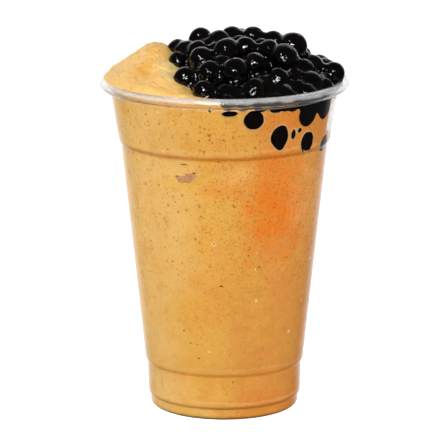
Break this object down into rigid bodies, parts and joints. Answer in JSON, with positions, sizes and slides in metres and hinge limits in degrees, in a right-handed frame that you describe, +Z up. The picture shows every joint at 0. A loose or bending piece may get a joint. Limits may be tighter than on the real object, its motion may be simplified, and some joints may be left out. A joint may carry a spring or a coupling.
{
  "type": "iced drink",
  "caption": "Thai tea smoothie in a clear plastic cup, mounded over the rim on one side and heaped with glossy tapioca pearls on the other.",
  "frame": {"origin": "centre of the cup's standing ring, on the surface that the cup stands on", "axes": "+Z up along the cup's axis; -Y is the front; the pearls lie at +X and the smoothie's mound at -X"},
  "size_m": [0.0948, 0.0948, 0.1462],
  "materials": {
    "clear_plastic": "clear, glossy, thin",
    "thai_tea": "blended iced milk tea, orange to tan, finely mottled, damp",
    "tapioca": "near black with syrup, very glossy"
  },
  "bodies": {
    "root": {"cup": "clear_plastic", "smoothie": "thai_tea", "boba_heap": "tapioca"}
  },
  "joints": []
}
